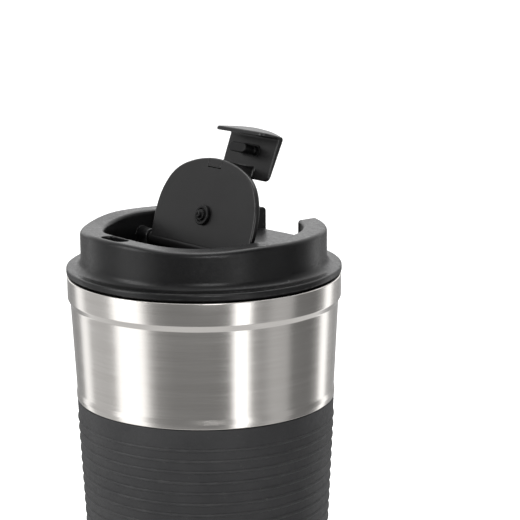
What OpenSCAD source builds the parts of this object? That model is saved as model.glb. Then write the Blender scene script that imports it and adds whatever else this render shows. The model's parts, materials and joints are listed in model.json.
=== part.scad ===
// Insulated travel mug: a double-walled steel body under a black lid with a flip-up drinking flap.
// Millimetres, Z up. The mug stands on z = 0 with its axis on Z, and it is drunk from at its -Y side.
// The flap is drawn as it stands at rest, swung up and a little back from its closed place.

/* [Steel body] */
// Height of the face that the lid's flange sits over
seat_z = 150; // [146:1:156]
// Outside radius of the straight collar at the top of the body
collar_r = 44.8; // [44.5:0.1:44.9]
// Depth of the straight collar
collar_h = 7.2; // [6.5:0.1:8]
// Outside radius just under the collar
neck_r = 43.9; // [43.6:0.1:44.1]
// Half angle of the tapered wall, in degrees
taper = 2.8; // [2.5:0.1:3]
// Thickness of the outer steel sheet
shell_t = 0.6; // [0.5:0.1:0.7]
// Thickness of the inner steel sheet
liner_t = 0.5; // [0.4:0.1:0.6]
// Inside radius of the mouth
mouth_r = 39.8; // [39.7:0.1:40]

/* [Grip and foot] */
// Depth from the lid's seat to the top of the grip
grip_drop = 41.2; // [40:0.1:46]
// Height of the grip
grip_h = 57; // [40:1:60]
// Thickness of the silicone grip
grip_t = 1.3; // [1.1:0.1:1.4]
// Thickness of the foot pad under the base
pad_h = 2.5; // [2:0.1:3]

/* [Lid] */
// Outside radius of the flange that covers the collar
flange_r = 45; // [45:0.1:46]
// Thickness of the flange
flange_t = 1.8; // [1.6:0.1:2]
// Outside radius of the lid's wall
wall_r = 40.2; // [40:0.1:40.4]
// Radius of the recess that the flap closes into
recess_r = 32.6; // [32.5:0.1:32.8]
// Height of the rim over the hinge line, above the seat
rim_h = 15.1; // [14.8:0.1:15.3]
// Slope of the rim, which is highest at the drinking side, in degrees
rim_tilt = 0.9; // [0.7:0.1:1.1]
// Height of the two low places in the rim, above the seat
dip_h = 14.3; // [14:0.1:14.5]
// Angle from the drinking side to each low place, in degrees
dip_angle = 48; // [44:1:52]
// Width of the notch that the latch tab swings into
notch_w = 26.8; // [26.4:0.1:27.4]

/* [Flap] */
// Angle of the flap from closed, as it is drawn
open_angle = 107.5; // [60:0.5:140]
// Distance of the hinge in front of the mug's axis
hinge_front = 1; // [0.8:0.1:1.2]
// Height of the hinge above the seat
hinge_h = 7.5; // [7.4:0.1:7.7]
// Width of the flap
flap_w = 50; // [48:0.5:50]
// Thickness of the flap
flap_t = 2; // [1.8:0.1:2]
// Width of the latch tab
tab_w = 24.5; // [22:0.5:25]
// Reach of the lip below the underside of the latch tab
lip_h = 6.8; // [6:0.1:7.5]

/* [Hidden] */
$fn = 96;
eps = 0.01;

steel = "#c9c6c2";
black = "#1d1d1f";
soft_black = "#262628";
copper = "#b87a52";

// Outside of the steel body
lip_gap = 0.3;
mouth_z = seat_z - lip_gap;
neck_z = seat_z - collar_h - 2.6;
shell_foot_z = 2;
foot_round = 1.6;
bead = 0.3;
bead_h = 1.6;
grip_top = seat_z - grip_drop;
grip_foot = grip_top - grip_h;
grip_seat = grip_t - 0.2;
grip_fit = 0.05;
function shell_r(z) = neck_r - (neck_z - z) * tan(taper);

// Inside of the steel body
liner_straight = 18;
liner_floor_z = 9.5;
liner_round = 5;
function liner_r(z) = mouth_r - max(0, seat_z - liner_straight - z) * tan(taper);

// Base
base_z = pad_h + 0.7;
base_t = 0.6;
pad_r = 34.5;
getter_r = 5;
seal_dot_r = 3;

// Lid walls
wall_t = 1.6;
recess_t = 1.4;
rim_under = 12.2;
floor_h = 4;
floor_t = 1.6;
shelf_h = 7.6;
shelf_y = 1.7;
cove_r = 2.2;
dip_r = 160;
wall_in = wall_r - wall_t;
recess_mid = recess_r + recess_t / 2;
notch_wall = 1.8;
notch_drop = 11;
notch_edge_y = 33;

// Drinking hole and stopper
hole_y = 35.8;
hole_w = 11;
hole_d = 4.4;
plug_y = 36;
plug_w = 8.6;
plug_d = 3.2;
plug_h = 5.4;

// Skirt and seal
skirt_t = 2.2;
skirt_h = 15;
skirt_top = 4;
seal_z = 11;
seal_h = 3;
seal_depth = 1.2;
seal_r = mouth_r - 0.3;

// Hinge, flap and tab, measured from the hinge axis with the flap closed
hinge_y = -hinge_front;
hinge_z = seat_z + hinge_h;
barrel_r = 2.2;
trunnion_r = 1.5;
socket_r = 1.55;
trunnion_x = 28;
boss_x = 25.4;
boss_r = 2.6;
flap_under = -barrel_r;
flap_r = 38.8;
flap_tip = 29.7;
corner_r = 25.6;
corner_y = 7.3;
vent_s = 10.6;
vent_disc_r = 2.9;
vent_disc_h = 1.2;
vent_post_r = 1.1;
vent_post_h = 2.8;
vent_hole_r = 1.9;
tongue_w = 6.8;
tongue_s = 26.9;
riser_w = 8.4;
riser_s0 = 26;
riser_s1 = 30.2;
tab_h = 10.6;
tab_t = 1.6;
tab_s = 26.7;
lip_in = wall_r + 0.5;
lip_flare = 0.6;

module stadium(w, d) {
  square([w - d, d], center = true);
  for (side = [-1, 1])
    translate([side * (w - d) / 2, 0])
      circle(d = d);
}

module at_flap() {
  translate([0, hinge_y, hinge_z])
    rotate([-open_angle, 0, 0])
      children();
}

// Steel body

module outer_shell() {
  outside = [
    [shell_r(shell_foot_z) - foot_round, shell_foot_z],
    [shell_r(shell_foot_z), shell_foot_z + foot_round],
    [shell_r(grip_foot), grip_foot],
    [shell_r(grip_foot) - grip_seat, grip_foot + eps],
    [shell_r(grip_top) - grip_seat, grip_top - eps],
    [shell_r(grip_top) + bead, grip_top],
    [shell_r(grip_top + bead_h) + bead, grip_top + bead_h],
    [shell_r(grip_top + 2 * bead_h), grip_top + 2 * bead_h],
    [neck_r, neck_z],
    [collar_r, seat_z - collar_h],
    [collar_r, mouth_z - 0.6],
    [collar_r - 0.6, mouth_z]
  ];
  inside = [
    [collar_r - shell_t - 0.6, mouth_z],
    [collar_r - shell_t, seat_z - collar_h],
    [neck_r - shell_t, neck_z],
    [shell_r(grip_top + 2 * bead_h) - shell_t, grip_top + 2 * bead_h],
    [shell_r(grip_top) - grip_seat - shell_t, grip_top],
    [shell_r(grip_foot) - grip_seat - shell_t, grip_foot],
    [shell_r(grip_foot) - shell_t, grip_foot - 1],
    [shell_r(shell_foot_z) - shell_t, shell_foot_z + foot_round],
    [shell_r(shell_foot_z) - foot_round - shell_t, shell_foot_z]
  ];
  color(steel)
    rotate_extrude()
      polygon(concat(outside, inside));
}

module inner_liner() {
  brim_r = collar_r - shell_t - 0.6;
  color(steel)
    rotate_extrude()
      difference() {
        union() {
          polygon([
            [0, liner_floor_z - liner_t],
            [liner_r(liner_floor_z) - liner_round, liner_floor_z - liner_t],
            [liner_r(liner_floor_z + liner_round) + liner_t, liner_floor_z + liner_round],
            [mouth_r + liner_t, seat_z - liner_straight],
            [mouth_r + liner_t, mouth_z],
            [0, mouth_z]
          ]);
          translate([mouth_r, mouth_z - liner_t])
            square([brim_r - mouth_r, liner_t]);
        }
        polygon([
          [-1, liner_floor_z],
          [liner_r(liner_floor_z) - liner_round, liner_floor_z],
          [liner_r(liner_floor_z + liner_round), liner_floor_z + liner_round],
          [mouth_r, seat_z - liner_straight],
          [mouth_r, mouth_z + 1],
          [-1, mouth_z + 1]
        ]);
      }
}

module foil_wrap() {
  foil_gap = 0.2;
  foil_t = 0.2;
  z0 = 20;
  z1 = seat_z - liner_straight - 6;
  r0 = liner_r(z0) + liner_t + foil_gap;
  r1 = liner_r(z1) + liner_t + foil_gap;
  color(copper)
    rotate_extrude()
      polygon([[r0, z0], [r0 + foil_t, z0], [r1 + foil_t, z1], [r1, z1]]);
}

module getter() {
  color("gray")
    translate([14, 0, base_z + base_t])
      cylinder(r = getter_r, h = 1.2);
}

module outer_base() {
  edge_r = shell_r(shell_foot_z) - shell_t - 0.6;
  color(steel)
    translate([0, 0, base_z])
      cylinder(r = edge_r, h = base_t);
}

module vacuum_seal() {
  color("dimgray")
    translate([0, 0, pad_h])
      cylinder(r = seal_dot_r, h = base_z - pad_h);
}

module base_pad() {
  color(soft_black)
    rotate_extrude()
      polygon([[0, 0], [pad_r - 0.8, 0], [pad_r, 0.8], [pad_r, pad_h], [0, pad_h]]);
}

module grip_band() {
  inner_0 = shell_r(grip_foot) - grip_seat;
  inner_1 = shell_r(grip_top) - grip_seat;
  end_gap = 0.2;
  color(soft_black)
    rotate_extrude()
      polygon([
        [inner_0 + grip_fit, grip_foot + end_gap],
        [inner_0 + grip_t, grip_foot + end_gap],
        [inner_1 + grip_t, grip_top - end_gap],
        [inner_1 + grip_fit, grip_top - end_gap]
      ]);
}

// Lid

module rim_section() {
  difference() {
    union() {
      translate([wall_in, 0])
        square([wall_t, rim_h + 2]);
      translate([recess_r, floor_h - floor_t])
        square([recess_t, rim_h + 2 - floor_h + floor_t]);
      translate([recess_r, rim_under])
        square([wall_r - recess_r, rim_h + 2 - rim_under]);
      translate([wall_in, 0])
        square([flange_r - wall_in - flange_t / 2, flange_t]);
      translate([flange_r - flange_t / 2, flange_t / 2])
        circle(r = flange_t / 2);
      translate([wall_r, flange_t])
        square(cove_r);
    }
    translate([wall_r + cove_r, flange_t + cove_r])
      circle(r = cove_r);
  }
}

module rim_trim() {
  translate([0, 0, rim_h])
    rotate([-rim_tilt, 0, 0])
      translate([-50, -50, 0])
        cube([100, 100, 10]);
  for (side = [-1, 1])
    rotate([0, 0, side * dip_angle])
      translate([0, -recess_r + 6, dip_h + dip_r])
        rotate([90, 0, 0])
          cylinder(r = dip_r, h = 22, $fn = 180);
}

module notch_cut() {
  run_out = 12;
  translate([-notch_w / 2, 0, 0])
    rotate([90, 0, 90])
      linear_extrude(height = notch_w)
        polygon([
          [notch_edge_y - 8, shelf_h],
          [notch_edge_y, shelf_h],
          [notch_edge_y + run_out, shelf_h - run_out * tan(notch_drop)],
          [notch_edge_y + run_out, rim_h + 5],
          [notch_edge_y - 8, rim_h + 5]
        ]);
}

module recess_floor() {
  translate([0, 0, floor_h - floor_t])
    cylinder(r = recess_mid, h = floor_t);
  intersection() {
    translate([0, 0, floor_h - floor_t])
      cylinder(r = recess_mid, h = shelf_h - floor_h + floor_t);
    difference() {
      translate([-50, shelf_y, 0])
        cube([100, 50, 20]);
      translate([-50, shelf_y + floor_t, -1])
        cube([100, 50, 1 + shelf_h - floor_t]);
    }
  }
}

module hinge_bosses() {
  for (side = [-1, 1])
    intersection() {
      cylinder(r = recess_mid, h = 20);
      translate([side > 0 ? boss_x : -boss_x - 10, hinge_y, 0])
        union() {
          translate([0, 0, hinge_h])
            rotate([0, 90, 0])
              cylinder(r = boss_r, h = 10);
          translate([0, -boss_r, floor_h - floor_t])
            cube([10, 2 * boss_r, hinge_h - floor_h + floor_t]);
        }
    }
}

module lid_body() {
  color(black)
    translate([0, 0, seat_z])
      difference() {
        union() {
          rotate_extrude()
            rim_section();
          recess_floor();
          hinge_bosses();
          intersection() {
            difference() {
              cylinder(r = wall_in + wall_t / 2, h = 30);
              translate([0, 0, -1])
                cylinder(r = recess_mid, h = 32);
            }
            translate([-notch_w / 2 - notch_wall, 20, skirt_top])
              cube([notch_w + 2 * notch_wall, 25, rim_under + 1 - skirt_top]);
          }
        }
        rim_trim();
        notch_cut();
        translate([0, -hole_y, rim_under - 1])
          linear_extrude(height = 10)
            stadium(hole_w, hole_d);
        translate([0, hinge_y - vent_s, 0])
          cylinder(r = vent_hole_r, h = floor_h + 1);
        for (side = [-1, 1])
          translate([side > 0 ? boss_x - 1 : -trunnion_x - 0.3, hinge_y, hinge_h])
            rotate([0, 90, 0])
              cylinder(r = socket_r, h = trunnion_x + 0.3 - boss_x + 1);
      }
}

module lid_skirt() {
  outer_r = wall_in;
  color(black)
    translate([0, 0, seat_z])
      rotate_extrude()
        difference() {
          translate([outer_r - skirt_t, -skirt_h])
            square([skirt_t, skirt_h + skirt_top]);
          translate([outer_r - seal_depth, -seal_z])
            square([seal_depth + 1, seal_h]);
        }
}

module lid_seal() {
  root_r = wall_in - seal_depth;
  color(soft_black)
    translate([0, 0, seat_z - seal_z])
      rotate_extrude()
        polygon([
          [root_r, 0],
          [wall_in, 0],
          [seal_r, seal_h * 0.35],
          [seal_r, seal_h * 0.65],
          [wall_in, seal_h],
          [root_r, seal_h]
        ]);
}

// Flap, drawn closed about its hinge axis and then swung up by at_flap

module flap_outline() {
  intersection() {
    translate([0, flap_r - flap_tip])
      circle(r = flap_r, $fn = 180);
    translate([0, -corner_y])
      circle(r = corner_r, $fn = 180);
    translate([-flap_w / 2, -50])
      square([flap_w, 50]);
  }
}

module flap() {
  color(black)
    at_flap()
      difference() {
        union() {
          translate([0, 0, flap_under])
            linear_extrude(height = flap_t)
              flap_outline();
          translate([-flap_w / 2, 0, 0])
            rotate([0, 90, 0])
              cylinder(r = barrel_r, h = flap_w);
          translate([-trunnion_x, 0, 0])
            rotate([0, 90, 0])
              cylinder(r = trunnion_r, h = 2 * trunnion_x);
        }
        translate([-tongue_w / 2, -flap_tip - 1, flap_under - 1])
          cube([tongue_w, flap_tip + 1 - tongue_s, flap_t + 2]);
        translate([0, -vent_s, flap_under - 1])
          cylinder(r = vent_post_r, h = flap_t + 2);
      }
}

module lip_section() {
  polygon([
    [lip_in - 1, tab_h],
    [lip_in - 1, tab_h + tab_t],
    [lip_in + 0.8, tab_h + tab_t],
    [lip_in + 1.6, tab_h + tab_t - 0.8],
    [lip_in + 1.5 + lip_flare, tab_h - lip_h],
    [lip_in + lip_flare, tab_h - lip_h],
    [lip_in, tab_h - 0.2]
  ]);
}

module latch_tab() {
  plate_end = lip_in - 1 - hinge_front;
  color(black)
    at_flap() {
      translate([-tab_w / 2, -plate_end, tab_h])
        cube([tab_w, plate_end - tab_s, tab_t]);
      intersection() {
        translate([0, hinge_front, 0])
          rotate_extrude($fn = 180)
            lip_section();
        translate([-tab_w / 2, -60, 0])
          cube([tab_w, 30, 20]);
      }
      translate([-riser_w / 2, -riser_s1, flap_under + flap_t])
        cube([riser_w, riser_s1 - riser_s0, tab_h - flap_under - flap_t]);
      intersection() {
        translate([-tongue_w / 2, -flap_tip - 1, flap_under])
          cube([tongue_w, flap_tip + 1 - tongue_s, flap_t]);
        translate([0, 0, flap_under])
          linear_extrude(height = flap_t)
            flap_outline();
      }
    }
}

module spout_stopper() {
  color(soft_black)
    at_flap()
      translate([0, hinge_front - plug_y, tab_h - plug_h])
        linear_extrude(height = plug_h)
          stadium(plug_w, plug_d);
}

module vent_stopper() {
  color(soft_black)
    at_flap()
      translate([0, -vent_s, flap_under - vent_post_h])
        union() {
          cylinder(r = vent_post_r, h = vent_post_h + flap_t);
          translate([0, 0, vent_post_h - vent_disc_h])
            cylinder(r = vent_disc_r, h = vent_disc_h);
          translate([0, 0, vent_post_h + flap_t])
            cylinder(r = vent_post_r + 0.7, h = 0.7);
        }
}

outer_shell();
inner_liner();
foil_wrap();
getter();
outer_base();
vacuum_seal();
base_pad();
grip_band();
lid_body();
lid_skirt();
lid_seal();
flap();
latch_tab();
spout_stopper();
vent_stopper();
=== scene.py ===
import json
import math

import bmesh
import bpy
import numpy as np
import openvdb
from mathutils import Matrix, Vector


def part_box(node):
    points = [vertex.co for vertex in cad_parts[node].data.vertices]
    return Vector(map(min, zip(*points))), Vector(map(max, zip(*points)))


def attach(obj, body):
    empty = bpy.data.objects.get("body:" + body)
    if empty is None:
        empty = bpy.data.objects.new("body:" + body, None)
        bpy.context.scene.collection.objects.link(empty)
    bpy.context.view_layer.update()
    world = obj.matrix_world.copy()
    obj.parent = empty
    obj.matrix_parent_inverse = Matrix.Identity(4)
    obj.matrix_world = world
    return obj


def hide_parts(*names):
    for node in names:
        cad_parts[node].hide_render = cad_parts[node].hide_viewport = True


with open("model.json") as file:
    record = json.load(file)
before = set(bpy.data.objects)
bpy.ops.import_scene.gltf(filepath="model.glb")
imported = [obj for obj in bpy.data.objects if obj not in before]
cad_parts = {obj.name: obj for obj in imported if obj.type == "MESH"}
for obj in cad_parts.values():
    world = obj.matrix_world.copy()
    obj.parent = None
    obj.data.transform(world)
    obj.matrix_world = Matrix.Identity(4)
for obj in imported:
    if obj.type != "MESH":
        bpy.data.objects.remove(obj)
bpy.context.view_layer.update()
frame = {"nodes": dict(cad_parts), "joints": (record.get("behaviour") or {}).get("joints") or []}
print("frame loaded")

mm = 0.001

# sizes in millimetres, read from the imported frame
hinge = next(joint for joint in frame["joints"] if joint["name"] == "flap_hinge")
hingeAt = Vector(hinge["pos_m"]) / mm
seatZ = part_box("lid_body")[0].z / mm          # the flange sits here on the mouth
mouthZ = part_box("outer_shell")[1].z / mm
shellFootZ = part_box("outer_shell")[0].z / mm
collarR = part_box("outer_shell")[1].x / mm
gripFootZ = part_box("grip_band")[0].z / mm
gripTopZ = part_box("grip_band")[1].z / mm
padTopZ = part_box("base_pad")[1].z / mm
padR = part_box("base_pad")[1].x / mm
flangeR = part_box("lid_body")[1].x / mm

cameraSetup = {
    "azimuth": 51.3,       # degrees round from the drinking side
    "elevation": 12.79,
    "distance": 0.6,       # metres from the point aimed at
    "roll": -0.81,
    "lens": 126.9,
    "shift": (0.1077, 0.0197),
}

# how bright the studio is in each direction: degrees from the camera, towards its right, and level
studioSetup = {
    # low down: white strips between grey cards
    "stripLevels": [
        (-180, 0.5), (-152, 0.36), (-138, 0.45), (-131, 1.5), (-124, 1.5), (-117, 0.7), (-92, 0.66),
        (-86, 0.75), (-81, 1.9), (-56, 1.9), (-50, 0.75), (-43, 0.36), (-28, 0.27), (10, 0.26),
        (22, 0.32), (27, 2.4), (36, 2.6), (40, 0.5), (51, 0.4), (60, 0.62), (76, 0.58),
        (82, 0.24), (106, 0.22), (117, 0.5), (122, 1.8), (130, 1.8), (136, 0.6), (150, 0.4),
        (180, 0.5),
    ],
    # above the horizon: a bright backdrop behind the mug
    "skyLevels": [(-180, 1.6), (-150, 1.4), (-110, 0.7), (-60, 0.4), (0, 0.25), (60, 0.3),
                  (105, 0.6), (150, 1.4), (180, 1.6)],
    "topLevel": 1.1,       # straight up
    "tableLevel": 0.8,     # straight down, as steel mirrors it
    "levelScale": 3.0,     # a ramp holds levels up to 1, so they are stored divided by this
    "skyRise": (0.0, 0.16),
    "topRise": (0.6, 0.9),
    "tableFall": (-0.42, -0.62),
    "floorSize": 12.0,
    "floorTone": 0.93,
    "floorGlow": 0.3,
}

# each softbox: watts, size, then degrees round from the camera, distance and height in metres
softboxes = {
    "overheadSoftbox": (9.0, (0.9, 0.9), (150, 0.35, 1.25)),
    "leftSoftbox": (5.0, (0.35, 0.7), (-70, 0.9, 0.55)),
    "faceSoftbox": (3.2, (0.3, 0.4), (6, 0.9, 0.36)),
}


def addCamera():
    setup = cameraSetup
    azimuth = math.radians(setup["azimuth"])
    elevation = math.radians(setup["elevation"])
    target = Vector((0, 0, seatZ * mm))
    back = Vector((math.sin(azimuth) * math.cos(elevation), -math.cos(azimuth) * math.cos(elevation),
                   math.sin(elevation)))
    turn = back.to_track_quat("Z", "Y").to_matrix().to_4x4()
    roll = Matrix.Rotation(math.radians(setup["roll"]), 4, "Z")
    data = bpy.data.cameras.new("mugCamera")
    data.lens = setup["lens"]
    data.sensor_width = 36
    data.shift_x, data.shift_y = setup["shift"]
    camera = bpy.data.objects.new("mugCamera", data)
    bpy.context.scene.collection.objects.link(camera)
    camera.matrix_world = Matrix.Translation(target + back * setup["distance"]) @ turn @ roll
    bpy.context.scene.camera = camera


def grey(level):
    return [level] * 3 + [1]


def levelRamp(nodes, levels, scale):
    ramp = nodes.new("ShaderNodeValToRGB")
    stops = ramp.color_ramp.elements
    for place, (degrees, level) in enumerate(levels):
        at = (degrees + 180) / 360
        stop = stops[place] if place < len(stops) else stops.new(at)
        stop.position = at
        stop.color = grey(level / scale)
    return ramp


def heightMask(nodes, links, height, span):
    mask = nodes.new("ShaderNodeMapRange")
    mask.interpolation_type = "SMOOTHSTEP"
    mask.inputs["From Min"].default_value, mask.inputs["From Max"].default_value = span
    links.new(height, mask.inputs["Value"])
    return mask.outputs["Result"]


def layLevel(nodes, links, mask, below, level):
    # lays one level, or another ramp, over what is there already
    layer = nodes.new("ShaderNodeMix")
    layer.data_type = "RGBA"
    links.new(mask, layer.inputs["Factor"])
    links.new(below, layer.inputs["A"])
    if isinstance(level, float):
        layer.inputs["B"].default_value = grey(level)
    else:
        links.new(level, layer.inputs["B"])
    return layer.outputs["Result"]


def addWorld():
    setup = studioSetup
    world = bpy.data.worlds.new("studio")
    world.use_nodes = True
    bpy.context.scene.world = world
    nodes, links = world.node_tree.nodes, world.node_tree.links
    nodes.clear()
    out = nodes.new("ShaderNodeOutputWorld")
    coords = nodes.new("ShaderNodeTexCoord")
    turn = nodes.new("ShaderNodeVectorRotate")
    turn.rotation_type = "Z_AXIS"
    turn.inputs["Angle"].default_value = -math.radians(cameraSetup["azimuth"] - 90)
    links.new(coords.outputs["Generated"], turn.inputs["Vector"])
    split = nodes.new("ShaderNodeSeparateXYZ")
    links.new(turn.outputs["Vector"], split.inputs["Vector"])
    angle = nodes.new("ShaderNodeMath")
    angle.operation = "ARCTAN2"
    links.new(split.outputs["Y"], angle.inputs[0])
    links.new(split.outputs["X"], angle.inputs[1])
    around = nodes.new("ShaderNodeMapRange")
    around.inputs["From Min"].default_value = -math.pi
    around.inputs["From Max"].default_value = math.pi
    links.new(angle.outputs[0], around.inputs["Value"])
    scale = setup["levelScale"]
    strips = levelRamp(nodes, setup["stripLevels"], scale)
    sky = levelRamp(nodes, setup["skyLevels"], scale)
    for ramp in (strips, sky):
        links.new(around.outputs["Result"], ramp.inputs["Fac"])
    light = strips.outputs["Color"]
    for span, level in (("skyRise", sky.outputs["Color"]), ("tableFall", setup["tableLevel"] / scale),
                        ("topRise", setup["topLevel"] / scale)):
        mask = heightMask(nodes, links, split.outputs["Z"], setup[span])
        light = layLevel(nodes, links, mask, light, level)
    studio = nodes.new("ShaderNodeBackground")
    studio.inputs["Strength"].default_value = scale
    links.new(light, studio.inputs["Color"])
    white = nodes.new("ShaderNodeBackground")
    white.inputs["Color"].default_value = (1, 1, 1, 1)
    path = nodes.new("ShaderNodeLightPath")
    pick = nodes.new("ShaderNodeMixShader")
    links.new(path.outputs["Is Camera Ray"], pick.inputs["Fac"])
    links.new(studio.outputs["Background"], pick.inputs[1])
    links.new(white.outputs["Background"], pick.inputs[2])
    links.new(pick.outputs["Shader"], out.inputs["Surface"])


def aroundMug(degreesFromCamera, distance, height):
    angle = math.radians(cameraSetup["azimuth"] - 90 + degreesFromCamera)
    return (distance * math.cos(angle), distance * math.sin(angle), height)


def addSoftbox(name, watts, size, place):
    data = bpy.data.lights.new(name, "AREA")
    data.energy = watts
    data.shape = "RECTANGLE"
    data.size, data.size_y = size
    light = bpy.data.objects.new(name, data)
    bpy.context.scene.collection.objects.link(light)
    at = Vector(aroundMug(*place))
    away = at - Vector((0, 0, seatZ * mm))
    light.matrix_world = Matrix.Translation(at) @ away.to_track_quat("Z", "Y").to_matrix().to_4x4()
    light.visible_camera = False


def addFloor():
    half = studioSetup["floorSize"] / 2
    mesh = bpy.data.meshes.new("studioFloor")
    corners = [(-half, -half, 0), (half, -half, 0), (half, half, 0), (-half, half, 0)]
    mesh.from_pydata(corners, [], [(0, 1, 2, 3)])
    floor = bpy.data.objects.new("studioFloor", mesh)
    bpy.context.scene.collection.objects.link(floor)
    paper = bpy.data.materials.new("paperFloor")
    paper.use_nodes = True
    shader = paper.node_tree.nodes["Principled BSDF"]
    shader.inputs["Base Color"].default_value = grey(studioSetup["floorTone"])
    shader.inputs["Roughness"].default_value = 0.9
    shader.inputs["Specular IOR Level"].default_value = 0.1
    shader.inputs["Emission Color"].default_value = (1, 1, 1, 1)
    shader.inputs["Emission Strength"].default_value = studioSetup["floorGlow"]
    mesh.materials.append(paper)
    floor.visible_glossy = False    # steel mirrors the studio's own lower half


def setStage():
    bpy.context.scene.view_settings.view_transform = "Standard"
    addCamera()
    addWorld()
    for name, (watts, size, place) in softboxes.items():
        addSoftbox(name, watts, size, place)
    addFloor()
    print("camera, light and floor set")


setStage()


# effects that several finishes share

def newGroup(name, inputs, outputs):
    group = bpy.data.node_groups.new(name, "ShaderNodeTree")
    for label, value in inputs:
        socket = group.interface.new_socket(name=label, in_out="INPUT", socket_type="NodeSocketFloat")
        socket.default_value = value
    for label in outputs:
        group.interface.new_socket(name=label, in_out="OUTPUT", socket_type="NodeSocketFloat")
    nodes = group.nodes
    return group, nodes.new("NodeGroupInput"), nodes.new("NodeGroupOutput")


def mathNode(tree, operation, first, second):
    node = tree.nodes.new("ShaderNodeMath")
    node.operation = operation
    for place, value in enumerate((first, second)):
        if isinstance(value, (int, float)):
            node.inputs[place].default_value = value
        else:
            tree.links.new(value, node.inputs[place])
    return node.outputs[0]


def rangeNode(tree, value, fromRange, toRange=(0, 1)):
    node = tree.nodes.new("ShaderNodeMapRange")
    node.inputs["From Min"].default_value, node.inputs["From Max"].default_value = fromRange
    node.inputs["To Min"].default_value, node.inputs["To Max"].default_value = toRange
    tree.links.new(value, node.inputs["Value"])
    return node.outputs["Result"]


def noiseNode(tree, vector, scale, detail=3, roughness=0.55):
    node = tree.nodes.new("ShaderNodeTexNoise")
    node.inputs["Detail"].default_value = detail
    node.inputs["Roughness"].default_value = roughness
    if isinstance(scale, (int, float)):
        node.inputs["Scale"].default_value = scale
    else:
        tree.links.new(scale, node.inputs["Scale"])
    tree.links.new(vector, node.inputs["Vector"])
    return node.outputs["Fac"]


def scaledCoords(tree, scale=(1, 1, 1)):
    # object coordinates, stretched by one factor for each axis
    coords = tree.nodes.new("ShaderNodeTexCoord")
    mapping = tree.nodes.new("ShaderNodeMapping")
    mapping.inputs["Scale"].default_value = scale
    tree.links.new(coords.outputs["Object"], mapping.inputs["Vector"])
    return mapping.outputs["Vector"]


def makeBrushing():
    # fine scratches that run round the mug, with a few broader bands
    group, given, made = newGroup("roundBrushing", [("Scale", 3000.0), ("Band Scale", 240.0)],
                                  ["Shade", "Height"])
    stretched = scaledCoords(group, (0.012, 0.012, 1))
    fine = noiseNode(group, stretched, given.outputs["Scale"], 4, 0.6)
    bands = noiseNode(group, stretched, given.outputs["Band Scale"], 2, 0.5)
    fineShade = rangeNode(group, fine, (0.3, 0.7))
    bandShade = rangeNode(group, bands, (0.35, 0.65))
    both = mathNode(group, "ADD", mathNode(group, "MULTIPLY", fineShade, 0.7),
                    mathNode(group, "MULTIPLY", bandShade, 0.3))
    group.links.new(both, made.inputs["Shade"])
    group.links.new(fineShade, made.inputs["Height"])
    return group


def makeGrain():
    # the fine pitted skin that a spark-eroded mould leaves
    group, given, made = newGroup("mouldGrain", [("Scale", 1900.0)], ["Shade", "Height"])
    coords = scaledCoords(group)
    fine = noiseNode(group, coords, given.outputs["Scale"], 2, 0.5)
    coarse = noiseNode(group, coords, mathNode(group, "MULTIPLY", given.outputs["Scale"], 0.35), 2, 0.5)
    height = mathNode(group, "ADD", mathNode(group, "MULTIPLY", fine, 0.65),
                      mathNode(group, "MULTIPLY", coarse, 0.35))
    group.links.new(rangeNode(group, height, (0.38, 0.62)), made.inputs["Shade"])
    group.links.new(height, made.inputs["Height"])
    return group


def makeWear():
    # rubbed edges: where the surface turns sharply outwards, broken up by noise
    group, given, made = newGroup("rubbedEdges", [("Patch Scale", 260.0)], ["Mask"])
    geometry = group.nodes.new("ShaderNodeNewGeometry")
    edge = rangeNode(group, geometry.outputs["Pointiness"], (0.53, 0.62))
    patchNoise = noiseNode(group, scaledCoords(group), given.outputs["Patch Scale"])
    patches = rangeNode(group, patchNoise, (0.4, 0.65))
    group.links.new(mathNode(group, "MULTIPLY", edge, patches), made.inputs["Mask"])
    return group


def makeDust():
    # a thin film and a few specks, most of them on faces that look up
    group, given, made = newGroup("settledDust", [("Speck Scale", 900.0), ("Film Scale", 55.0)], ["Mask"])
    geometry = group.nodes.new("ShaderNodeNewGeometry")
    split = group.nodes.new("ShaderNodeSeparateXYZ")
    group.links.new(geometry.outputs["Normal"], split.inputs["Vector"])
    upward = rangeNode(group, split.outputs["Z"], (0.2, 1.0), (0.25, 1.0))
    coords = scaledCoords(group)
    specks = rangeNode(group, noiseNode(group, coords, given.outputs["Speck Scale"], 2, 0.6), (0.68, 0.76))
    film = rangeNode(group, noiseNode(group, coords, given.outputs["Film Scale"], 4, 0.6),
                     (0.45, 0.75), (0, 0.25))
    group.links.new(mathNode(group, "MULTIPLY", upward, mathNode(group, "MAXIMUM", specks, film)),
                    made.inputs["Mask"])
    return group


brushing = makeBrushing()
grain = makeGrain()
wear = makeWear()
dust = makeDust()


def useGroup(tree, group, **values):
    node = tree.nodes.new("ShaderNodeGroup")
    node.node_tree = group
    for label, value in values.items():
        node.inputs[label.replace("_", " ")].default_value = value
    return node


def mixColor(tree, factor, first, second):
    node = tree.nodes.new("ShaderNodeMix")
    node.data_type = "RGBA"
    tree.links.new(factor, node.inputs["Factor"])
    for label, value in (("A", first), ("B", second)):
        if isinstance(value, tuple):
            node.inputs[label].default_value = (*value, 1)
        else:
            tree.links.new(value, node.inputs[label])
    return node.outputs["Result"]


def bumpFrom(tree, height, strength, distance):
    node = tree.nodes.new("ShaderNodeBump")
    node.inputs["Strength"].default_value = strength
    node.inputs["Distance"].default_value = distance
    tree.links.new(height, node.inputs["Height"])
    return node.outputs["Normal"]


def newFinish(name):
    material = bpy.data.materials.new(name)
    material.use_nodes = True
    tree = material.node_tree
    return material, tree, tree.nodes["Principled BSDF"]


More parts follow.
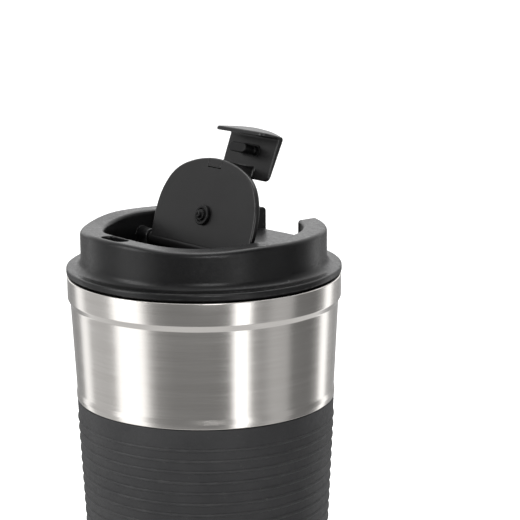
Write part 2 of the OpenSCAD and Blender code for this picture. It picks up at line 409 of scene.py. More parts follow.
def steelFinish(name, look):
    material, tree, shader = newFinish(name)
    shader.inputs["Metallic"].default_value = 1
    lines = useGroup(tree, brushing, Scale=look["lineScale"], Band_Scale=look["bandScale"])
    smudge = noiseNode(tree, scaledCoords(tree, (1, 1, 0.6)), smudgeScale, 4, 0.6)
    tone = mixColor(tree, lines.outputs["Shade"], look["dark"], look["light"])
    worn = mixColor(tree, useGroup(tree, wear).outputs["Mask"], tone, look["worn"])
    tree.links.new(worn, shader.inputs["Base Color"])
    low, high = look["roughness"]
    rough = mathNode(tree, "ADD", rangeNode(tree, lines.outputs["Shade"], (0, 1), (low, high)),
                     rangeNode(tree, smudge, (0.35, 0.7), (0, look["smudge"])))
    tree.links.new(rough, shader.inputs["Roughness"])
    relief = bumpFrom(tree, lines.outputs["Height"], look["bump"], look["relief"])
    tree.links.new(relief, shader.inputs["Normal"])
    return material


def plasticFinish(name, look):
    material, tree, shader = newFinish(name)
    shader.inputs["Specular IOR Level"].default_value = look["specular"]
    skin = useGroup(tree, grain, Scale=look["grainScale"])
    flow = rangeNode(tree, noiseNode(tree, scaledCoords(tree), flowScale, 3, 0.5), (0.35, 0.65))
    tone = mixColor(tree, flow, look["dark"], look["light"])
    worn = mixColor(tree, useGroup(tree, wear).outputs["Mask"], tone, look["worn"])
    dusty = mathNode(tree, "MULTIPLY", useGroup(tree, dust).outputs["Mask"], look["dust"])
    tree.links.new(mixColor(tree, dusty, worn, dustColor), shader.inputs["Base Color"])
    low, high = look["roughness"]
    rough = mathNode(tree, "ADD", rangeNode(tree, skin.outputs["Shade"], (0, 1), (low, high)),
                     mathNode(tree, "MULTIPLY", dusty, 0.3))
    tree.links.new(rough, shader.inputs["Roughness"])
    relief = bumpFrom(tree, skin.outputs["Height"], look["bump"], 0.1 * mm)
    tree.links.new(relief, shader.inputs["Normal"])
    return material


dustColor = (0.32, 0.31, 0.3)
smudgeScale = 38
flowScale = 45

brushedSteel = steelFinish("brushedSteel", {
    "dark": (0.585, 0.562, 0.535), "light": (0.65, 0.63, 0.605), "worn": (0.8, 0.79, 0.77),
    "lineScale": 5200.0, "bandScale": 420.0, "roughness": (0.13, 0.19), "smudge": 0.04, "bump": 0.12,
    "relief": 0.03 * mm})
innerSteel = steelFinish("innerSteel", {
    "dark": (0.6, 0.59, 0.57), "light": (0.66, 0.65, 0.63), "worn": (0.75, 0.74, 0.72),
    "lineScale": 2200.0, "bandScale": 160.0, "roughness": (0.16, 0.24), "smudge": 0.06, "bump": 0.12,
    "relief": 0.03 * mm})
lidPlastic = plasticFinish("lidPlastic", {
    "dark": (0.0022, 0.0022, 0.0025), "light": (0.0038, 0.0038, 0.0041), "worn": (0.04, 0.04, 0.04),
    "dust": 0.06, "grainScale": 1900.0, "roughness": (0.28, 0.4), "bump": 0.25, "specular": 0.26})
flapPlastic = plasticFinish("flapPlastic", {
    "dark": (0.0055, 0.0053, 0.0055), "light": (0.008, 0.0078, 0.008), "worn": (0.05, 0.05, 0.05),
    "dust": 0.06, "grainScale": 2600.0, "roughness": (0.28, 0.36), "bump": 0.15, "specular": 0.34})
silicone = plasticFinish("silicone", {
    "dark": (0.012, 0.012, 0.013), "light": (0.018, 0.018, 0.019), "worn": (0.04, 0.04, 0.04),
    "dust": 0.2, "grainScale": 1500.0, "roughness": (0.5, 0.62), "bump": 0.3, "specular": 0.35})
sealRubber = plasticFinish("sealRubber", {
    "dark": (0.0022, 0.0022, 0.0024), "light": (0.004, 0.004, 0.0043), "worn": (0.02, 0.02, 0.02),
    "dust": 0.05, "grainScale": 2200.0, "roughness": (0.4, 0.5), "bump": 0.15, "specular": 0.2})


def foilFinish():
    look = {"creaseScale": 180, "dark": (0.62, 0.3, 0.17), "light": (0.8, 0.46, 0.28),
            "roughness": (0.22, 0.38), "bump": 0.6, "relief": 0.6 * mm}
    material, tree, shader = newFinish("copperFoil")
    shader.inputs["Metallic"].default_value = 1
    creases = noiseNode(tree, scaledCoords(tree), look["creaseScale"], 5, 0.65)
    tone = mixColor(tree, rangeNode(tree, creases, (0.35, 0.7)), look["dark"], look["light"])
    tree.links.new(tone, shader.inputs["Base Color"])
    tree.links.new(rangeNode(tree, creases, (0.3, 0.7), look["roughness"]), shader.inputs["Roughness"])
    tree.links.new(bumpFrom(tree, creases, look["bump"], look["relief"]), shader.inputs["Normal"])
    return material


copperFoil = foilFinish()
print("finishes made")


def pieceFrom(name, mesh, body, slot, material, *nodes):
    mesh.materials.clear()
    mesh.materials.append(material)
    piece = bpy.data.objects.new(name, mesh)
    bpy.context.scene.collection.objects.link(piece)
    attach(piece, body)
    if nodes:
        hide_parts(*nodes)
    print(name, "made,", len(mesh.polygons), "faces")
    return piece


def softProfile(corners):
    # corners are (radius, height, rounding); each rounded one becomes an arc that is tangent to both sides
    points = []
    count = len(corners)
    for place, (r, z, rounding) in enumerate(corners):
        here = Vector((r, z))
        if rounding == 0:
            points.append(here)
            continue
        before = (Vector(corners[place - 1][:2]) - here).normalized()
        after = (Vector(corners[(place + 1) % count][:2]) - here).normalized()
        half = before.angle(after) / 2
        reach = rounding / math.tan(half)
        middle = here + (before + after).normalized() * (rounding / math.sin(half))
        first = here + before * reach - middle
        last = here + after * reach - middle
        sweep = math.atan2(first.x * last.y - first.y * last.x, first.dot(last))
        steps = max(3, int(abs(math.degrees(sweep)) / 9))
        for step in range(steps + 1):
            turn = sweep * step / steps
            points.append(middle + Vector((first.x * math.cos(turn) - first.y * math.sin(turn),
                                           first.x * math.sin(turn) + first.y * math.cos(turn))))
    return points


def turnedMesh(name, corners, segments=240, sharp=32):
    # spins a closed outline of (radius, height) round the mug's axis
    points = softProfile(corners)
    mesh = bpy.data.meshes.new(name)
    rings = []
    work = bmesh.new()
    for point in points:
        if point.x < 1e-6:
            rings.append([work.verts.new((0, 0, point.y * mm))])
            continue
        rings.append([work.verts.new((point.x * mm * math.cos(2 * math.pi * k / segments),
                                      point.x * mm * math.sin(2 * math.pi * k / segments),
                                      point.y * mm)) for k in range(segments)])
    for place, ring in enumerate(rings):
        other = rings[(place + 1) % len(rings)]
        if len(ring) == 1 and len(other) == 1:
            continue
        for k in range(segments):
            nextK = (k + 1) % segments
            loop = [ring[k % len(ring)], ring[nextK % len(ring)],
                    other[nextK % len(other)], other[k % len(other)]]
            work.faces.new(list(dict.fromkeys(loop)))
    bmesh.ops.recalc_face_normals(work, faces=work.faces)
    work.to_mesh(mesh)
    work.free()
    mesh.shade_smooth()
    mesh.set_sharp_from_angle(angle=math.radians(sharp))
    return mesh


def roundMeet(a, b, r):
    # both fields at once, with a rounded outer corner
    return np.minimum(-r, np.maximum(a, b)) + np.hypot(np.maximum(r + a, 0), np.maximum(r + b, 0))


def roundJoin(a, b, r):
    # either field, with a filleted inner corner
    return np.maximum(r, np.minimum(a, b)) - np.hypot(np.maximum(r - a, 0), np.maximum(r - b, 0))


def softLower(a, b, k):
    # the lower of two, blended where they come within k
    blendBy = np.maximum(k - np.abs(a - b), 0) / k
    return np.minimum(a, b) - blendBy * blendBy * k / 4


def between(v, low, high):
    # negative from low to high
    return np.maximum(low - v, v - high)


def stadium(x, y, width, depth):
    # a slot with round ends
    return np.hypot(np.maximum(np.abs(x) - (width - depth) / 2, 0), y) - depth / 2


def mouldedMesh(name, field, settings, place):
    # samples a distance field in millimetres, skins it, then pulls each corner on to the true surface
    voxel = settings["voxel"]
    axes = [np.arange(a, b + voxel, voxel, dtype=np.float32) for a, b in zip(*settings["box"])]
    x, y, z = np.meshgrid(*axes, indexing="ij")
    depth = 4 * voxel                          # how far from the skin the field is kept
    values = np.clip(field(x, y, z), -depth, depth).astype(np.float32)
    grid = openvdb.FloatGrid(depth)
    grid.copyFromArray(values)
    points, triangles, quads = grid.convertToPolygons(isovalue=0.0, adaptivity=settings["adaptivity"])
    points = np.asarray(points, dtype=np.float64) * voxel + np.array([axis[0] for axis in axes])

    def slope(at):
        step = 0.01
        parts = []
        for axis in range(3):
            offset = np.zeros(3)
            offset[axis] = step
            parts.append(field(*(at + offset).T) - field(*(at - offset).T))
        return np.stack(parts, 1) / (2 * step)

    for _ in range(3):
        gradient = slope(points)
        square = np.maximum((gradient * gradient).sum(1), 0.25)
        move = -(field(*points.T) / square)[:, None] * gradient
        length = np.linalg.norm(move, axis=1, keepdims=True)
        points += move * np.minimum(1, 0.5 * voxel / np.maximum(length, 1e-9))
    faces = [list(map(int, face)) for face in triangles] + [list(map(int, face)) for face in quads]
    mesh = bpy.data.meshes.new(name)
    mesh.from_pydata((points * mm).tolist(), [], faces)
    mesh.validate()
    work = bmesh.new()
    work.from_mesh(mesh)
    bmesh.ops.remove_doubles(work, verts=work.verts, dist=0.002 * mm)
    bmesh.ops.recalc_face_normals(work, faces=work.faces)
    work.to_mesh(mesh)
    work.free()
    where = np.empty(len(mesh.vertices) * 3)
    mesh.vertices.foreach_get("co", where)
    outward = slope(where.reshape(-1, 3) / mm)
    outward /= np.maximum(np.linalg.norm(outward, axis=1, keepdims=True), 1e-9)
    mesh.transform(place)
    turned = outward @ np.array(place.to_3x3()).T
    mesh.shade_smooth()
    mesh.normals_split_custom_set_from_vertices(turned.tolist())
    return mesh


# steel body, in millimetres; each radius is taken at the neck
bodySize = {
    "taper": 2.8,          # degrees
    "neckR": 43.9,         # where the taper begins
    "collarH": 7.6,
    "shoulderH": 1.8,      # slope between the neck and the collar
    "sheet": 0.6,
    "bead": 0.3,
    "beadH": 1.6,
    "gripSeat": 1.1,       # how deep the wall is rolled in under the grip
    "footRound": 1.6,
}
linerSize = {"mouthR": 39.8, "straight": 18, "floorZ": 9.5, "corner": 6, "sheet": 0.5}
neckZ = seatZ - bodySize["collarH"] - bodySize["shoulderH"]


def shellR(z):
    return bodySize["neckR"] - (neckZ - z) * math.tan(math.radians(bodySize["taper"]))


def makeShell():
    s = bodySize
    top = gripTopZ + 0.2
    foot = gripFootZ - 0.2
    corners = [
        (shellR(shellFootZ) - s["footRound"], shellFootZ, 0.2),
        (shellR(shellFootZ), shellFootZ + s["footRound"], 1.2),
        (shellR(foot), foot, 0.15),
        (shellR(foot) - s["gripSeat"], foot + 0.02, 0.1),
        (shellR(top) - s["gripSeat"], top - 0.02, 0.1),
        (shellR(top) + s["bead"], top, 0.25),
        (shellR(top + s["beadH"]) + s["bead"], top + s["beadH"], 1.2),
        (shellR(top + 2 * s["beadH"]), top + 2 * s["beadH"], 1.6),
        (s["neckR"], neckZ, 1.2),
        (collarR, seatZ - s["collarH"], 0.9),
        (collarR, mouthZ - 0.25, 0.15),
        (collarR - 0.25, mouthZ, 0.1),
        (collarR - s["sheet"] - 0.6, mouthZ, 0),
        (collarR - s["sheet"], seatZ - s["collarH"], 0.8),
        (s["neckR"] - s["sheet"], neckZ, 1),
        (shellR(top) - s["gripSeat"] - s["sheet"], top, 0),
        (shellR(foot) - s["gripSeat"] - s["sheet"], foot, 0),
        (shellR(foot) - s["sheet"], foot - 1, 0),
        (shellR(shellFootZ) - s["sheet"], shellFootZ + s["footRound"], 0),
        (shellR(shellFootZ) - s["footRound"] - s["sheet"], shellFootZ, 0),
    ]
    mesh = turnedMesh("shell", corners, 288)
    pieceFrom("steelShell", mesh, "mug", "brushed_steel", brushedSteel, "outer_shell")


def makeLiner():
    s = linerSize
    slope = math.tan(math.radians(bodySize["taper"]))
    brimR = collarR - bodySize["sheet"] - 0.6
    straightZ = seatZ - s["straight"]
    floorR = s["mouthR"] - (straightZ - s["floorZ"]) * slope
    corners = [
        (0, s["floorZ"], 0),
        (floorR, s["floorZ"], s["corner"]),
        (s["mouthR"], straightZ, 20),
        (s["mouthR"], mouthZ, 0.8),
        (brimR, mouthZ, 0),
        (brimR, mouthZ - s["sheet"], 0),
        (s["mouthR"] + s["sheet"], mouthZ - s["sheet"], 0),
        (s["mouthR"] + s["sheet"], straightZ, 20),
        (floorR + s["sheet"], s["floorZ"] - s["sheet"], s["corner"]),
        (0, s["floorZ"] - s["sheet"], 0),
    ]
    pieceFrom("steelLiner", turnedMesh("liner", corners), "mug", "inner_steel", innerSteel, "inner_liner")


gripSize = {
    "thick": 1.3, "edge": 0.35, "gap": 0.05, "ribs": 13, "ribR": 0.6, "ribPitch": 3.6, "ribSunk": 0.25,
    "ribSegments": 192, "ribSides": 10,
}


def makeGrip():
    s = gripSize
    inner0 = shellR(gripFootZ - 0.2) - bodySize["gripSeat"]
    inner1 = shellR(gripTopZ + 0.2) - bodySize["gripSeat"]
    corners = [
        (inner0 + s["gap"], gripFootZ, 0),
        (inner0 + s["thick"], gripFootZ, s["edge"]),
        (inner1 + s["thick"], gripTopZ, s["edge"]),
        (inner1 + s["gap"], gripTopZ, 0),
    ]
    pieceFrom("gripBand", turnedMesh("grip", corners, 288), "mug", "silicone", silicone, "grip_band")
    return inner0 + s["thick"], inner1 + s["thick"]


def ribTree():
    # rings that climb the grip, each one sized to the taper at its height
    tree = bpy.data.node_groups.new("gripRibs", "GeometryNodeTree")
    face = tree.interface
    face.new_socket(name="Geometry", in_out="OUTPUT", socket_type="NodeSocketGeometry")
    face.new_socket(name="Count", in_out="INPUT", socket_type="NodeSocketInt")
    for label in ("Foot Radius", "Foot Height", "Pitch", "Slope", "Rib Radius"):
        face.new_socket(name=label, in_out="INPUT", socket_type="NodeSocketFloat")
    face.new_socket(name="Finish", in_out="INPUT", socket_type="NodeSocketMaterial")
    nodes, links = tree.nodes, tree.links
    given = nodes.new("NodeGroupInput")
    made = nodes.new("NodeGroupOutput")
    climb = nodes.new("GeometryNodeMeshLine")
    step = nodes.new("ShaderNodeCombineXYZ")
    start = nodes.new("ShaderNodeCombineXYZ")
    links.new(given.outputs["Pitch"], step.inputs["Z"])
    links.new(given.outputs["Foot Height"], start.inputs["Z"])
    links.new(given.outputs["Count"], climb.inputs["Count"])
    links.new(start.outputs["Vector"], climb.inputs["Start Location"])
    links.new(step.outputs["Vector"], climb.inputs["Offset"])
    where = nodes.new("GeometryNodeInputPosition")
    split = nodes.new("ShaderNodeSeparateXYZ")
    links.new(where.outputs["Position"], split.inputs["Vector"])
    above = mathNode(tree, "SUBTRACT", split.outputs["Z"], given.outputs["Foot Height"])
    growth = mathNode(tree, "MULTIPLY", above, given.outputs["Slope"])
    radius = mathNode(tree, "ADD", growth, given.outputs["Foot Radius"])
    size = nodes.new("ShaderNodeCombineXYZ")
    size.inputs["Z"].default_value = 1
    links.new(radius, size.inputs["X"])
    links.new(radius, size.inputs["Y"])
    ring = nodes.new("GeometryNodeCurvePrimitiveCircle")
    ring.inputs["Resolution"].default_value = gripSize["ribSegments"]
    ring.inputs["Radius"].default_value = 1
    place = nodes.new("GeometryNodeInstanceOnPoints")
    links.new(climb.outputs["Mesh"], place.inputs["Points"])
    links.new(ring.outputs["Curve"], place.inputs["Instance"])
    links.new(size.outputs["Vector"], place.inputs["Scale"])
    real = nodes.new("GeometryNodeRealizeInstances")
    links.new(place.outputs["Instances"], real.inputs["Geometry"])
    section = nodes.new("GeometryNodeCurvePrimitiveCircle")
    section.inputs["Resolution"].default_value = gripSize["ribSides"]
    links.new(given.outputs["Rib Radius"], section.inputs["Radius"])
    sweep = nodes.new("GeometryNodeCurveToMesh")
    links.new(real.outputs["Geometry"], sweep.inputs["Curve"])
    links.new(section.outputs["Curve"], sweep.inputs["Profile Curve"])
    joined = nodes.new("GeometryNodeRealizeInstances")
    finish = nodes.new("GeometryNodeSetMaterial")
    links.new(sweep.outputs["Mesh"], joined.inputs["Geometry"])
    links.new(joined.outputs["Geometry"], finish.inputs["Geometry"])
    links.new(given.outputs["Finish"], finish.inputs["Material"])
    links.new(finish.outputs["Geometry"], made.inputs["Geometry"])
    return tree


def makeRibs(footR, topR):
    s = gripSize
    tree = ribTree()
    slope = (topR - footR) / (gripTopZ - gripFootZ)
    margin = ((gripTopZ - gripFootZ) - (s["ribs"] - 1) * s["ribPitch"]) / 2
    firstR = footR + margin * slope - s["ribSunk"]
    values = {"Count": s["ribs"], "Foot Radius": firstR * mm, "Foot Height": (gripFootZ + margin) * mm,
              "Pitch": s["ribPitch"] * mm, "Slope": slope, "Rib Radius": s["ribR"] * mm, "Finish": silicone}
    seed = bpy.data.objects.new("ribSeed", bpy.data.meshes.new("ribSeed"))
    bpy.context.scene.collection.objects.link(seed)
    modifier = seed.modifiers.new("ribs", "NODES")
    modifier.node_group = tree
    for item in tree.interface.items_tree:
        if item.in_out == "INPUT":
            modifier[item.identifier] = values[item.name]
    bpy.context.view_layer.update()
    solved = seed.evaluated_get(bpy.context.evaluated_depsgraph_get())
    mesh = bpy.data.meshes.new_from_object(solved)
    bpy.data.objects.remove(seed)
    work = bmesh.new()
    work.from_mesh(mesh)
    bmesh.ops.recalc_face_normals(work, faces=work.faces)
    work.to_mesh(mesh)
    work.free()
    mesh.shade_smooth()
    pieceFrom("gripRibs", mesh, "mug", "silicone", silicone)


footSize = {"grooveOut": 5, "grooveIn": 9, "grooveDeep": 0.5, "chamfer": 0.8}


def makeFoot():
    s = footSize
    corners = [
        (0, 0, 0),
        (padR - s["grooveIn"], 0, 0.2),
        (padR - s["grooveIn"] + 1, s["grooveDeep"], 0.2),
        (padR - s["grooveOut"] - 1, s["grooveDeep"], 0.2),
        (padR - s["grooveOut"], 0, 0.2),
        (padR - s["chamfer"], 0, 0.3),
        (padR, s["chamfer"], 0.3),
        (padR, padTopZ, 0.2),
        (0, padTopZ, 0),
    ]
    pieceFrom("footPad", turnedMesh("foot", corners), "mug", "silicone", silicone, "base_pad")


def finishHidden():
    # what lies inside the double wall keeps its plain mesh
    for node, material in (("foil_wrap", copperFoil), ("getter", innerSteel), ("outer_base", brushedSteel),
                           ("vacuum_seal", innerSteel)):
        mesh = frame["nodes"][node].data
        mesh.materials.clear()
        mesh.materials.append(material)


makeShell()
makeLiner()
makeRibs(*makeGrip())
makeFoot()
finishHidden()


# lid, in millimetres: x and y from the mug's axis, heights above the seat
lidSize = {
    "wallR": 40.2, "wallIn": 38.6, "recessR": 32.3, "recessOut": 34.0,
    "panelR": 33.3,        # floor, shelf and hinge posts end inside the recess wall
    "rimH": 15.1, "rimTilt": 0.9, "rimUnder": 12.2,
    "outerEdge": 1.4, "innerEdge": 1.1,
    "dipH": 14.3, "dipAngle": 48, "dipR": 160, "dipFrom": 5,
    "flangeT": 2.6, "flangeEdge": 0.55, "cove": 2.5, "underCut": (0.7, 1.2),
    "floorH": 4.0, "floorT": 1.6, "hollowR": 36, "shelfH": 7.6, "shelfY": 1.7,
    "notchW": 25.2, "notchY": 25, "notchEdgeY": 33, "notchDrop": 11,
    "notchWall": 1.8, "notchWallY": 20, "notchWallR": 39.4,
    "holeY": -35.6, "holeW": 11, "holeD": 4.8,
    "bossX": 26.5, "bossR": 2.6, "socketR": 1.55, "socketX": 28.9,
    "ventR": 1.9, "ventS": 10.6,
    "fillet": 0.7, "overlap": 0.3, "channelEdge": 0.2,
    "shelfEdge": 0.45, "postEdge": 0.35, "holeEdge": 0.45, "ventEdge": 0.25,
    "box": ((-46, -46, -1), (46, 46, 18)), "voxel": 0.4, "adaptivity": 0.005,
}


def rimHeight(x, y):
    # the rim falls a little towards the back, with a hollow on each side of the spout
    s = lidSize
    height = s["rimH"] - math.tan(math.radians(s["rimTilt"])) * y
    c, d = math.cos(math.radians(s["dipAngle"])), math.sin(math.radians(s["dipAngle"]))
    for side in (-1, 1):
        across = x * c + y * side * d
        out = x * side * d - y * c
        dip = s["dipH"] + s["dipR"] - np.sqrt(np.maximum(s["dipR"] ** 2 - across * across, 1))
        height = softLower(height, np.where(out > s["dipFrom"], dip, height + 1), s["fillet"])
    return height


def rimRing(r, z, top):
    s = lidSize
    ring = np.maximum(roundMeet(r - s["wallR"], top, s["outerEdge"]),
                      roundMeet(s["recessR"] - r, top, s["innerEdge"]))
    channel = np.maximum(between(r, s["recessOut"], s["wallIn"]), z - s["rimUnder"])
    ring = roundMeet(ring, -channel, s["channelEdge"])
    return np.maximum(ring, -z)


def flangeRing(r, z):
    # the flange, undercut where it meets the steel, and the cove that leads up to the wall
    s = lidSize
    flange = roundMeet(r - flangeR, between(z, 0, s["flangeT"]), s["flangeEdge"])
    flange = np.maximum(flange, s["wallIn"] - r)
    cutH, cutIn = s["underCut"]
    flange = roundMeet(flange, np.minimum(r - flangeR + cutIn, cutH - z), s["channelEdge"])
    coveR, coveZ = s["wallR"] + s["cove"], s["flangeT"] + s["cove"]
    block = np.maximum(between(r, s["wallR"] - s["overlap"], coveR),
                       between(z, s["flangeT"] - s["overlap"], coveZ))
    cove = np.maximum(block, s["cove"] - np.hypot(r - coveR, z - coveZ))
    return np.minimum(flange, cove)


def notchedRing(ring, x, y, z, r):
    # walls close the hollow rim on both sides, then the notch is cut between them
    s = lidSize
    sides = np.maximum(np.abs(x) - s["notchW"] / 2 - s["notchWall"], s["notchWallY"] - y)
    fill = np.maximum(between(z, s["floorH"], s["rimUnder"] + 1),
                      between(r, s["panelR"], s["notchWallR"]))
    ring = np.minimum(ring, np.maximum(sides, fill))
    notchFloor = s["shelfH"] - np.maximum(y - s["notchEdgeY"], 0) * math.tan(math.radians(s["notchDrop"]))
    notch = np.maximum(np.maximum(np.abs(x) - s["notchW"] / 2, s["notchY"] - y), notchFloor - z)
    return roundMeet(ring, -notch, s["fillet"])


def lidField(x, y, z):
    s = lidSize
    r = np.hypot(x, y)
    hingeY, hingeZ = hingeAt.y, hingeAt.z - seatZ
    floorUnder = s["floorH"] - s["floorT"]
    ring = np.minimum(rimRing(r, z, z - rimHeight(x, y)), flangeRing(r, z))
    ring = notchedRing(ring, x, y, z, r)
    floor = np.maximum(r - s["panelR"], between(z, floorUnder, s["floorH"]))
    body = roundJoin(ring, floor, s["fillet"])
    shelf = np.maximum(r - s["panelR"], roundMeet(z - s["shelfH"], s["shelfY"] - y, s["shelfEdge"]))
    body = np.minimum(body, shelf)
    fromHinge = np.hypot(y - hingeY, z - hingeZ)
    web = np.maximum(np.abs(y - hingeY) - s["bossR"], z - hingeZ)
    post = roundMeet(np.minimum(fromHinge - s["bossR"], web), s["bossX"] - np.abs(x), s["postEdge"])
    body = np.minimum(body, np.maximum(post, r - s["panelR"]))
    body = np.maximum(body, -np.maximum(r - s["hollowR"], z - floorUnder))
    socket = np.maximum(fromHinge - s["socketR"], np.abs(x) - s["socketX"])
    body = np.maximum(body, -socket)
    hole = np.maximum(stadium(x, y - s["holeY"], s["holeW"], s["holeD"]), s["rimUnder"] - 1 - z)
    body = roundMeet(body, -hole, s["holeEdge"])
    vent = np.maximum(np.hypot(x, y - hingeY + s["ventS"]) - s["ventR"], z - s["floorH"] - 1)
    return roundMeet(body, -vent, s["ventEdge"])


def makeLid():
    place = Matrix.Scale(1, 4)
    place.translation = (0, 0, seatZ * mm)
    mesh = mouldedMesh("lid", lidField, lidSize, place)
    pieceFrom("lidMoulding", mesh, "lid", "lid_plastic", lidPlastic, "lid_body")


skirtSize = {"thick": 2.2, "deep": 15, "up": 4, "sealZ": -11, "sealH": 3, "sealDepth": 1.2}


def makeSkirt():
    s = skirtSize
    outR = lidSize["wallIn"]
    inR = outR - s["thick"]
    rootR = outR - s["sealDepth"]
    corners = [
        (inR, seatZ - s["deep"], 0.4),
        (outR, seatZ - s["deep"], 0.8),
        (outR, seatZ + s["sealZ"], 0.15),
        (rootR, seatZ + s["sealZ"], 0),
        (rootR, seatZ + s["sealZ"] + s["sealH"], 0),
        (outR, seatZ + s["sealZ"] + s["sealH"], 0.15),
        (outR, seatZ + s["up"], 0),
        (inR, seatZ + s["up"], 0),
    ]
    pieceFrom("lidSkirt", turnedMesh("skirt", corners), "lid", "lid_plastic", lidPlastic, "lid_skirt")
    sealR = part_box("lid_seal")[1].x / mm
    low, high = seatZ + s["sealZ"], seatZ + s["sealZ"] + s["sealH"]
    middle = (low + high) / 2
    ring = [
        (rootR, low, 0),
        (outR, low, 0.1),
        (sealR, low + 0.5, 0.3),
        (sealR, low + 1.05, 0.2),
        (outR + 0.1, middle, 0.2),
        (sealR, high - 1.05, 0.2),
        (sealR, high - 0.5, 0.3),
        (outR, high, 0.1),
        (rootR, high, 0),
    ]
    pieceFrom("lidSeal", turnedMesh("seal", ring), "lid", "silicone", sealRubber, "lid_seal")


makeLid()
makeSkirt()


# flap, in millimetres: drawn closed about its hinge line, then swung up
flapSize = {
    "open": 107.5, "width": 51.8, "thick": 2.0, "barrelR": 2.2, "trunnionR": 1.5, "trunnionX": 28.6,
    "outlineR": 38.8, "tip": 29.7, "cornerR": 26.0, "cornerY": -7.3,
    "archBlend": 1.5, "sideBlend": 2.0, "edge": 0.75, "barrelEdge": 0.4, "pinEdge": 0.3,
    "tongueW": 6.8, "tongueS": 26.5, "ventR": 1.1,
    "box": ((-29, -32, -3.2), (29, 3.2, 3.2)), "voxel": 0.26, "adaptivity": 0,
}
tabSize = {
    "width": 24.5, "low": 10.7, "lean": 0.065, "inner": 25.7, "outerR": 43.6,
    "thick": (1.05, 2.0),  # at the root and at the lip
    "lipLow": 4.3,
    "lipIn": (39.45, 40.35),    # the lip's two faces, from the hinge, at its lower edge and at the plate
    "lipOut": (40.8, 42.9),
    "bend": 0.9, "corner": 1.7, "lipCorner": 2.2, "lipBlend": 0.8, "innerEdge": 0.45, "sideEdge": 0.5,
    "riserW": 8.4, "riserS": (26, 29.4), "riserFillet": 0.8, "slit": 0.16,
    "box": ((-13, -46, -3), (13, -24.5, 14.6)), "voxel": 0.22, "adaptivity": 0,
}
stopperSize = {
    "r": 36, "width": 8.6, "depth": 3.2, "low": 5.2, "root": 1.2, "collar": 0.5, "collarLow": 0.3,
    "groove": (2.7, 4.3), "grooveDeep": 0.25, "edge": 0.45, "grooveEdge": 0.3, "collarEdge": 0.12,
    "box": ((-6, -38.5, 4.5), (6, -31.5, 11.5)), "voxel": 0.14, "adaptivity": 0,
}
ventSize = {
    "discR": 3.3, "discH": 1.2, "stepR": 1.85, "stepH": 0.5, "grooveR": 2.3, "grooveH": 0.6,
    "postR": 1.1, "postH": 2.8, "headR": 1.8, "headH": 0.7, "headSunk": 0.1, "dimpleR": 0.5,
    "edge": 0.35, "stepEdge": 0.2, "headEdge": 0.3, "grooveEdge": 0.12, "dimpleEdge": 0.1,
    "box": ((-3.6, -14.3, -5.5), (3.6, -6.9, 1)), "voxel": 0.11, "adaptivity": 0,
}
underside = -flapSize["barrelR"]
topside = underside + flapSize["thick"]
axisY = -hingeAt.y                             # the mug's axis, from the hinge


def swungUp():
    swing = Matrix.Rotation(-math.radians(flapSize["open"]), 4, "X")
    return Matrix.Translation(hingeAt * mm) @ swing


def flapOutline(x, y):
    # a D: a broad arc at the tip, a tighter one round each corner, straight sides
    s = flapSize
    wide = np.hypot(x, y - s["outlineR"] + s["tip"]) - s["outlineR"]
    corner = np.hypot(x, y - s["cornerY"]) - s["cornerR"]
    arch = -softLower(-wide, -corner, s["archBlend"])
    return np.maximum(-softLower(-arch, s["width"] / 2 - np.abs(x), s["sideBlend"]), y)


def flapField(x, y, z):
    s = flapSize
    plate = roundMeet(flapOutline(x, y), between(z, underside, topside), s["edge"])
    around = np.hypot(y, z)
    barrel = roundMeet(around - s["barrelR"], np.abs(x) - s["width"] / 2, s["barrelEdge"])
    pin = roundMeet(around - s["trunnionR"], np.abs(x) - s["trunnionX"], s["pinEdge"])
    body = np.minimum(np.minimum(plate, barrel), pin)
    slot = np.maximum(np.abs(x) - s["tongueW"] / 2, y + s["tongueS"])
    body = np.maximum(body, -slot)
    return np.maximum(body, s["ventR"] - np.hypot(x, y + lidSize["ventS"]))


def tabField(x, y, z):
    s = tabSize
    reach = np.hypot(x, y - axisY)
    above = z - s["low"] - s["lean"] * (-y - s["inner"])
    along = np.clip((-y - s["inner"]) / (s["lipIn"][0] - s["inner"]), 0, 1)
    thick = s["thick"][0] + (s["thick"][1] - s["thick"][0]) * along
    climb = np.clip((z - s["lipLow"]) / (s["low"] - s["lipLow"]), 0, 1)
    front = -y - s["lipOut"][0] - (s["lipOut"][1] - s["lipOut"][0]) * climb
    back = -y - s["lipIn"][0] - (s["lipIn"][1] - s["lipIn"][0]) * climb
    outer = roundMeet(-softLower(s["outerR"] - reach, -front, s["lipBlend"]), above - thick, s["bend"])
    hollow = roundMeet(back, above, s["bend"])
    shape = roundMeet(outer, -hollow, s["innerEdge"])
    plan = roundMeet(np.abs(x) - s["width"] / 2, y + s["inner"], s["corner"])
    lipEnd = roundMeet(np.abs(x) - s["width"] / 2, s["lipLow"] - z, s["lipCorner"])
    shape = roundMeet(shape, np.maximum(plan, lipEnd), s["sideEdge"])
    nearS, farS = s["riserS"]
    riser = roundMeet(np.abs(x) - s["riserW"] / 2, between(-y, nearS, farS), s["riserFillet"])
    riser = np.maximum(riser, between(z, topside, s["low"] + 0.5))
    shape = roundJoin(shape, riser, s["riserFillet"])
    inSlot = np.maximum(np.abs(x) - flapSize["tongueW"] / 2, y + flapSize["tongueS"]) + s["slit"]
    plate = roundMeet(flapOutline(x, y), between(z, underside, topside), flapSize["edge"])
    return np.minimum(shape, np.maximum(inSlot, plate))


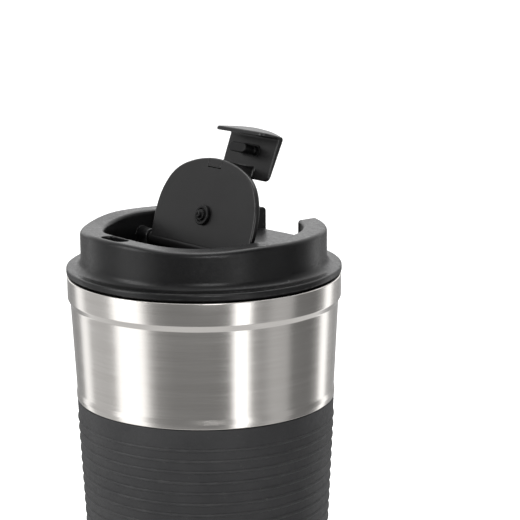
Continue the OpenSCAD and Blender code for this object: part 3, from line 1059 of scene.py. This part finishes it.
def stopperField(x, y, z):
    s = stopperSize
    fromMiddle = y - axisY + s["r"]
    root = tabSize["low"] + s["root"]
    plug = roundMeet(stadium(x, fromMiddle, s["width"], s["depth"]), between(z, s["low"], root), s["edge"])
    waist = stadium(x, fromMiddle, s["width"] - 2 * s["grooveDeep"], s["depth"] - 2 * s["grooveDeep"])
    grooveLow, grooveHigh = s["groove"]
    groove = np.maximum(-waist, between(z, s["low"] + grooveLow, s["low"] + grooveHigh))
    plug = roundMeet(plug, -groove, s["grooveEdge"])
    collar = stadium(x, fromMiddle, s["width"] + 2 * s["collar"], s["depth"] + 2 * s["collar"])
    collar = roundMeet(collar, between(z, tabSize["low"] + s["collarLow"], root), s["collarEdge"])
    return np.minimum(plug, collar)


def ventField(x, y, z):
    s = ventSize
    out = np.hypot(x, y + lidSize["ventS"])
    discLow = underside - s["discH"]
    disc = roundMeet(out - s["discR"], between(z, discLow, underside), s["edge"])
    step = roundMeet(out - s["stepR"], between(z, discLow - s["stepH"], underside), s["stepEdge"])
    post = roundMeet(out - s["postR"], between(z, underside - s["postH"], topside), s["edge"])
    headSpan = between(z, topside - s["headSunk"], topside + s["headH"])
    head = roundMeet(out - s["headR"], headSpan, s["headEdge"])
    plug = np.minimum(np.minimum(disc, head), roundJoin(step, post, s["stepEdge"]))
    groove = np.maximum(between(out, s["stepR"], s["grooveR"]), z - discLow - s["grooveH"])
    plug = roundMeet(plug, -groove, s["grooveEdge"])
    dimple = np.hypot(out, z - underside + s["postH"]) - s["dimpleR"]
    return roundMeet(plug, -dimple, s["dimpleEdge"])


def makeFlap():
    place = swungUp()
    mesh = mouldedMesh("flapPlate", flapField, flapSize, place)
    pieceFrom("drinkingFlap", mesh, "flap", "flap_plastic", flapPlastic, "flap")
    mesh = mouldedMesh("tab", tabField, tabSize, place)
    pieceFrom("latchTab", mesh, "flap", "flap_plastic", flapPlastic, "latch_tab")
    mesh = mouldedMesh("stopper", stopperField, stopperSize, place)
    pieceFrom("spoutStopper", mesh, "flap", "silicone", sealRubber, "spout_stopper")
    mesh = mouldedMesh("ventPlug", ventField, ventSize, place)
    pieceFrom("ventStopper", mesh, "flap", "silicone", sealRubber, "vent_stopper")


makeFlap()

bpy.context.view_layer.update()
